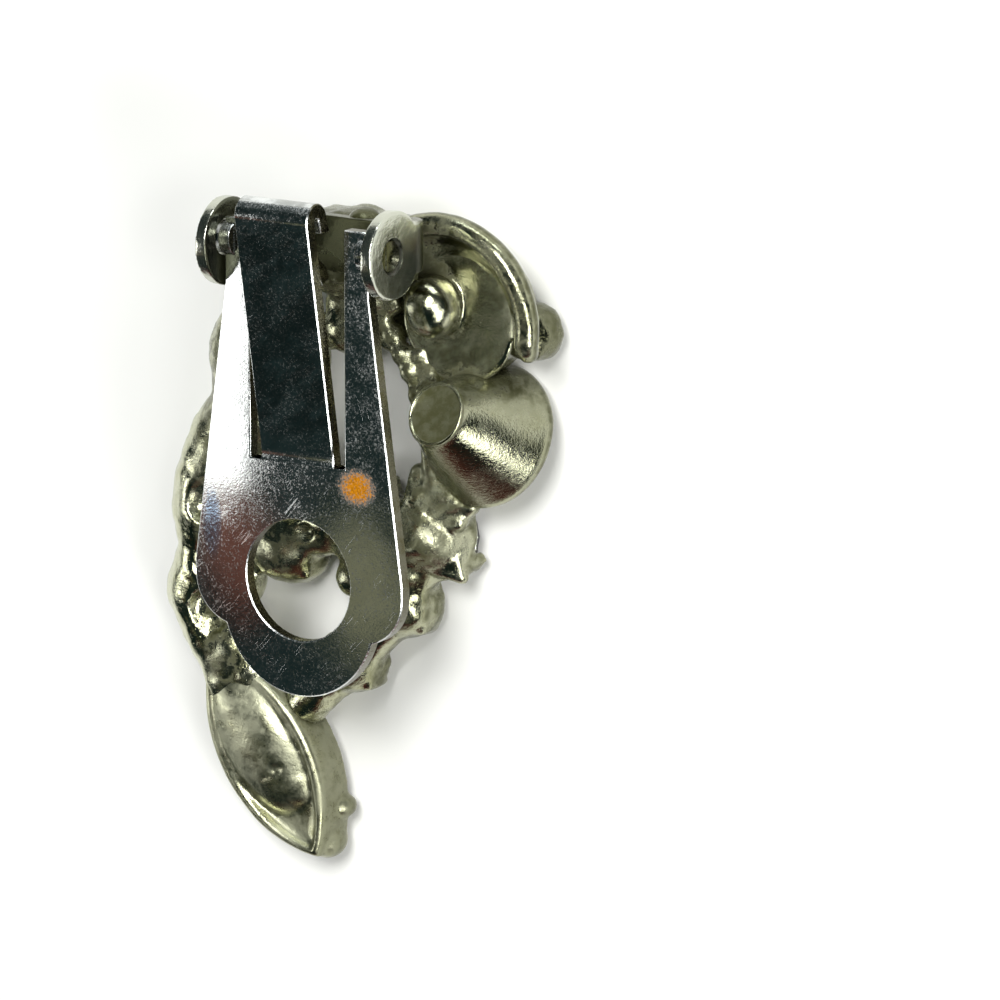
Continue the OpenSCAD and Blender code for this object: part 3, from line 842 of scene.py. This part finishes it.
class EARRING_OT_ring_cup(bpy.types.Operator):
    """The ring cup: dish with a thin lip, flared half wall with its thick half-ring, and the ball"""
    bl_idname = "earring.ring_cup"
    bl_label = "Ring cup"

    def execute(self, context):
        dish = lathe([(2.6, FRONT_Z), (2.75, 1.2), (2.85, 2.4), (2.98, 2.9), (2.98, 3.04), (2.9, 3.1),
                      (2.75, 3.08), (2.2, 3.0), (1.2, 2.95), (0.1, 2.95)], sizes().ring_facets)
        wall = sweep([(2.6, FRONT_Z), (2.85, FRONT_Z), (3.0, 1.0), (3.25, 1.9), (3.8, 2.75), (4.4, 3.5),
                      (4.66, 3.9), (4.5, 4.1), (4.1, 3.85), (3.5, 3.35), (2.9, 3.1), (2.4, 3.0)], -12, 182)
        tube = [(4.5 + 0.56 * math.cos(math.radians(a)), 4.32 + 0.56 * math.sin(math.radians(a)))
                for a in range(0, 360, 18)]
        bead = sweep(tube, -5, 173, 80)
        solids = [put(dish, RING), put(wall, RING), put(bead, RING)]
        for angle, z, r in ((-5, 4.28, 0.565), (-8, 4.2, 0.53), (-11, 4.05, 0.46), (168, 4.15, 0.57)):
            t = math.radians(angle)
            solids.append(ball(RING + Vector((4.47 * math.cos(t), 4.47 * math.sin(t), z)), r))
        solids.append(ball((4.42, -3.0, 3.62), 1.3, (1, 1.12, 1), steps=4))
        piece = join(solids, "ring_cup")
        fuse(piece, 0.1, 3)
        lumps(piece, 1.6, 0.1)
        cut(piece, put(seat(2.05, 0.0), RING))
        smooth_shade(piece, 60)
        settle(piece, cast_metal("ring_cup_metal", colours(), 0.75, 0.15, 0.6, 0.15,
                                 ring=SHIFT + RING), "setting", "cast_metal", "setting")
        return {"FINISHED"}


class EARRING_OT_cone_cup(bpy.types.Operator):
    """The cone cup: smooth satin flank, flat dull end with a thin raised rim"""
    bl_idname = "earring.cone_cup"
    bl_label = "Cone cup"

    def execute(self, context):
        profile = [(2.75, -0.33), (3.1, -0.36), (3.3, -0.3), (3.34, -0.1), (3.3, 0.1), (3.22, 0.26)]
        for i in range(1, 15):
            t = i / 14
            swell = 0.05 * math.sin(math.pi * t)
            profile.append((3.22 + (1.47 - 3.22) * t + swell, 0.26 + (3.98 - 0.26) * t))
        profile += [(1.5, 4.03), (1.5, 4.12), (1.44, 4.17), (1.36, 4.13), (1.3, 4.06), (0.9, 4.03),
                    (0.3, 4.0), (0.1, 3.99)]
        piece = at_cone(lathe(profile, sizes().ring_facets))
        piece.name = "cone_cup"
        lumps(piece, 2.2, 0.06)
        cut(piece, at_cone(lathe([(1.65, -3), (1.65, -0.76), (2.8, -0.1), (2.8, 0.25), (0.2, 1.75)], 48)))
        round_edges(piece, 0.03, 2, 50, True)
        smooth_shade(piece, 45)
        axis = CONE_TURN @ Vector((0, 0, 1))
        point = CONE + axis * 4.0
        settle(piece, cast_metal("cone_cup_metal", colours(), 0.55, 0.17, 0.8, 0.2, dim=0.45,
                                 face=(SHIFT + point, axis)), "setting", "cast_metal", "setting")
        return {"FINISHED"}


class EARRING_OT_navette_cup(bpy.types.Operator):
    """The navette cup: almond rim wall round a dented pillow, with a groove and a valley at the tip"""
    bl_idname = "earring.navette_cup"
    bl_label = "Navette cup"

    def execute(self, context):
        pick()
        bpy.ops.mesh.primitive_circle_add(vertices=96, radius=1, fill_type="NGON")
        piece = bpy.context.object
        outline = almond(5.5, 2.72, 48)
        for v, (x, y) in zip(piece.data.vertices, outline):
            v.co = (x, y, FRONT_Z)
        open_mesh()
        z = FRONT_Z
        for dz, kx, ky in ((1.2, 1.0, 1.0), (0.65, 0.985, 0.97), (0.26, 0.975, 0.95), (0.08, 0.965, 0.91),
                           (-0.05, 0.96, 0.89), (-0.3, 0.97, 0.95), (-0.12, 0.9, 0.88)):
            z += dz
            bpy.ops.mesh.extrude_region_move(TRANSFORM_OT_translate={"value": (0, 0, dz)})
            bpy.ops.transform.resize(value=(kx, ky, 1), center_override=(0, 0, z))
        close_mesh()
        pillow = ball((-0.8, 0.0, 2.2), 1, (4.0, 2.32, 1.22), steps=4)
        shoulder = ball((-2.2, -0.1, 2.2), 1, (2.4, 1.8, 1.15), steps=4)
        swell = ball((1.5, 0.45, 2.3), 1, (1.5, 1.2, 0.84), steps=4)
        tip = ball((4.72, 0.05, 1.5), 0.9, (1, 1, 1.2))
        foot = ball((3.75, 1.5, 1.1), 0.55, (1, 1, 1.3))
        piece = join([pillow, shoulder, swell, tip, foot, piece], "navette_cup")
        melt(piece, 0.09)
        cut(piece, put(ball((0, 0, 0), 1, (0.12, 1.25, 0.22)), (1.0, -0.25, 3.42), (0, 0, math.radians(-10))))
        cut(piece, put(ball((0, 0, 0), 1, (0.34, 0.5, 0.3)), (0.95, 0.55, 3.4), (0, 0, math.radians(-10))))
        at_navette(piece)
        fuse(piece, 0.09, 10)
        lumps(piece, 2.4, 0.1)
        lumps(piece, 0.8, 0.025)
        cut(piece, at_navette(block((-4.0, -1.7, -1), (4.0, 1.7, GIRDLE_Z + 0.25))))
        smooth_shade(piece, 60)
        settle(piece, cast_metal("navette_metal", colours(), 0.75, 0.4, 0.6, 0.15, dim=0.75),
               "setting", "cast_metal", "setting")
        return {"FINISHED"}


class EARRING_OT_bracket(bpy.types.Operator):
    """The stamped bracket: cross bar bent up into two round ears with pivot holes"""
    bl_idname = "earring.bracket"
    bl_label = "Hinge bracket"

    def execute(self, context):
        cx, y0, _ = PIVOT
        solids = [block((cx - 4.1, y0 - 1.6, 5.15), (cx + 4.1, y0 + 0.95, 5.7))]
        for side, dy, dz in ((-1, -0.25, -0.35), (1, 0.0, -0.2)):
            ear_x = cx + side * EAR_X
            solids.append(drum((ear_x, y0 + dy, PIVOT.z + dz), EAR_R, EAR_THICK, (0, math.pi / 2, 0), 96))
            half = EAR_THICK / 2
            solids.append(block((ear_x - half, y0 - 1.05, 6.0), (ear_x + half, y0 + 1.25, 7.6)))
            pick()
            bpy.ops.mesh.primitive_circle_add(vertices=4, radius=1, fill_type="NGON")
            bend = bpy.context.object
            corners = [(0.9, -1.05, 0), (0.35, -1.05, 0), (0.35, 1.25, 0), (0.9, 1.25, 0)]
            for v, co in zip(bend.data.vertices, corners):
                v.co = co
            open_mesh()
            bpy.ops.mesh.spin(steps=10, angle=math.radians(-90), center=(0, 0, 0), axis=(0, 1, 0))
            close_mesh()
            bend.data.transform(Matrix.Scale(side, 4, (1, 0, 0)))
            put(bend, (cx + side * 3.85, y0, 6.05))
            solids.append(bend)
        piece = join(solids, "hinge_bracket")
        pick(piece)
        open_mesh()
        close_mesh()
        fuse(piece, 0.07, 3)
        cut(piece, drum((cx, y0, PIVOT.z), BORE_R, 12, (0, math.pi / 2, 0)))
        lumps(piece, 1.6, 0.05)
        smooth_shade(piece, 45)
        settle(piece, bracket_steel(colours()), "setting", "cast_metal", "setting")
        return {"FINISHED"}


class EARRING_OT_paddle(bpy.types.Operator):
    """The stamped clip paddle with rounded sheet edges"""
    bl_idname = "earring.paddle"
    bl_label = "Clip paddle"

    def execute(self, context):
        source = frame["nodes"]["clip_paddle"]
        piece = source.copy()
        piece.data = source.data.copy()
        for key in [k for k in piece.keys() if k.startswith("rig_")]:
            del piece[key]
        piece.parent = None
        piece.name = piece.data.name = "paddle"
        context.scene.collection.objects.link(piece)
        pick(piece)
        open_mesh()
        bpy.ops.mesh.remove_doubles(threshold=0.000002)
        bpy.ops.mesh.dissolve_limited(angle_limit=math.radians(0.6))
        bpy.ops.object.mode_set(mode="OBJECT")
        piece.data.transform(Matrix.Translation(-SHIFT) @ Matrix.Scale(1000, 4))
        round_edges(piece, sizes().edge, 1, 40, False)
        smooth_shade(piece, 40)
        modify(piece, "WEIGHTED_NORMAL", keep_sharp=True)
        settle(piece, paddle_steel(colours()), "paddle", "clip_steel", "clip_paddle")
        return {"FINISHED"}


class EARRING_OT_stones(bpy.types.Operator):
    """The cut stones in their cups"""
    bl_idname = "earring.stones"
    bl_label = "Cut stones"

    def execute(self, context):
        tones = colours()
        crystal = cut_crystal("clear_crystal", tones["crystal"], tones["foil"])
        for name, item in frame["nodes"].items():
            if name.startswith("stone_"):
                item.data.materials.clear()
                item.data.materials.append(crystal)
        return {"FINISHED"}


class EARRING_OT_tarnish_and_shade(bpy.types.Operator):
    """Measures how deep in a recess each vertex lies, the paddle counted as a cover, for the oxide and the
    painted shade laid there
    """
    bl_idname = "earring.tarnish"
    bl_label = "Tarnish"

    def execute(self, context):
        names = ("frame_casting", "ring_cup", "cone_cup", "navette_cup", "hinge_bracket")
        pieces = [bpy.data.objects[n] for n in names]
        mark_recess(pieces, [bpy.data.objects["paddle"]], rays=14)
        return {"FINISHED"}


# Soft boxes and dim cards: name, way towards it, distance, width, height, brightness, colour
SOFT_BOXES = [
    ("left_box", (-0.85, -0.15, 0.53), 0.5, 0.12, 0.28, 4.0, (1.0, 1.0, 0.98)),
    ("right_box", (0.83, -0.22, 0.52), 0.5, 0.14, 0.16, 13.0, (1.0, 1.0, 0.97)),
    ("right_low_box", (0.76, -0.48, 0.44), 0.5, 0.12, 0.1, 12.0, (1.0, 1.0, 0.97)),
    ("back_box", (0.1, 0.96, 0.24), 0.5, 0.4, 0.08, 8.0, (0.95, 1.0, 1.0)),
    ("top_box", (0.3, 0.42, 0.86), 0.6, 0.21, 0.18, 28.0, (1.0, 1.0, 0.97)),
    ("right_top_box", (0.7, 0.12, 0.72), 0.6, 0.1, 0.1, 20.0, (1.0, 1.0, 0.97)),
    ("brown_card", (-0.67, -0.345, 0.66), 0.5, 0.1, 0.08, 0.26, (0.62, 0.24, 0.16)),
    ("olive_card", (-0.4, -0.41, 0.82), 0.5, 0.11, 0.11, 0.2, (0.85, 0.8, 0.45)),
    ("red_card", (0.0, -0.97, 0.16), 0.4, 0.55, 0.1, 0.25, (0.6, 0.14, 0.12)),
]
# The dim surroundings: colour and strength
SURROUNDINGS = ((0.42, 0.82, 0.8, 1), 0.026)
# The picture's width in pixels, the hinge's place in it and height in millimetres, and the way to the camera
PICTURE = 1000
HINGE_PIXEL = (297.5, 245.5)
HINGE_Z = 7.8
CAMERA_WAY = (0.649, 0.268, 1.0)


class EARRING_OT_stage(bpy.types.Operator):
    """Floor, soft boxes, surroundings and camera"""
    bl_idname = "earring.stage"
    bl_label = "Stage"

    def execute(self, context):
        scene = context.scene
        setup = scene.earring_stage
        pick()
        bpy.ops.mesh.primitive_plane_add(size=1.6, location=(0, 0, 0))
        floor = apply_place(bpy.context.object)
        floor.name = "floor"
        floor.data.materials.append(backdrop(colours()))
        for name, way, far, wide, high, power, tint in SOFT_BOXES:
            way = Vector(way).normalized()
            lamp = bpy.data.lights.new(name, "AREA")
            lamp.shape = "RECTANGLE"
            lamp.size, lamp.size_y = wide, high
            lamp.energy = power * setup.light * math.pi * wide * high
            lamp.color = tint
            holder = bpy.data.objects.new(name, lamp)
            scene.collection.objects.link(holder)
            turn = way.to_track_quat("Z", "Y").to_matrix().to_4x4()
            holder.matrix_world = Matrix.Translation(way * far) @ turn
        world = bpy.data.worlds.new("studio")
        scene.world = world
        world.use_nodes = True
        shade = world.node_tree.nodes["Background"]
        shade.inputs[0].default_value, shade.inputs[1].default_value = SURROUNDINGS
        towards = Vector(CAMERA_WAY).normalized()
        up = (Vector((0, 1, 0)) - towards.y * towards).normalized()
        right = up.cross(towards)
        hinge = Vector((SHIFT.x, SHIFT.y, HINGE_Z))
        over, down = ((PICTURE / 2 - pixel) / setup.scale for pixel in HINGE_PIXEL)
        aim = hinge + right * over - up * down
        eye = bpy.data.cameras.new("camera")
        eye.sensor_width = 36
        eye.lens = eye.sensor_width * setup.distance * setup.scale / PICTURE
        eye.clip_start = 0.01
        eye.clip_end = 10
        camera = bpy.data.objects.new("camera", eye)
        scene.collection.objects.link(camera)
        camera.matrix_world = (Matrix.Translation((aim + towards * setup.distance) * MM)
                               @ Matrix((right, up, towards)).transposed().to_4x4())
        scene.camera = camera
        scene.view_settings.view_transform = "Standard"
        return {"FINISHED"}


class EARRING_PT_panel(bpy.types.Panel):
    """Lists the earring's pieces"""
    bl_idname = "EARRING_PT_panel"
    bl_label = "Earring"
    bl_space_type = "VIEW_3D"
    bl_region_type = "UI"
    bl_category = "Earring"

    def draw(self, context):
        scene = context.scene
        for group in (scene.earring_sizes, scene.earring_colours, scene.earring_stage):
            for key in type(group).__annotations__:
                self.layout.prop(group, key)
        for operator in STEPS:
            self.layout.operator(operator.bl_idname)


STEPS = (
    EARRING_OT_frame_casting, EARRING_OT_ring_cup, EARRING_OT_cone_cup, EARRING_OT_navette_cup,
    EARRING_OT_bracket, EARRING_OT_paddle, EARRING_OT_stones, EARRING_OT_tarnish_and_shade, EARRING_OT_stage,
)
CLASSES = (EarringSizes, EarringColours, StageSettings) + STEPS + (EARRING_PT_panel,)


def register():
    for item in CLASSES:
        bpy.utils.register_class(item)
    bpy.types.Scene.earring_sizes = PointerProperty(type=EarringSizes)
    bpy.types.Scene.earring_colours = PointerProperty(type=EarringColours)
    bpy.types.Scene.earring_stage = PointerProperty(type=StageSettings)


def unregister():
    for key in ("earring_sizes", "earring_colours", "earring_stage"):
        delattr(bpy.types.Scene, key)
    for item in reversed(CLASSES):
        bpy.utils.unregister_class(item)


def main():
    register()
    for step in STEPS:
        group, name = step.bl_idname.split(".")
        getattr(getattr(bpy.ops, group), name)()


if __name__ == "__main__":
    main()
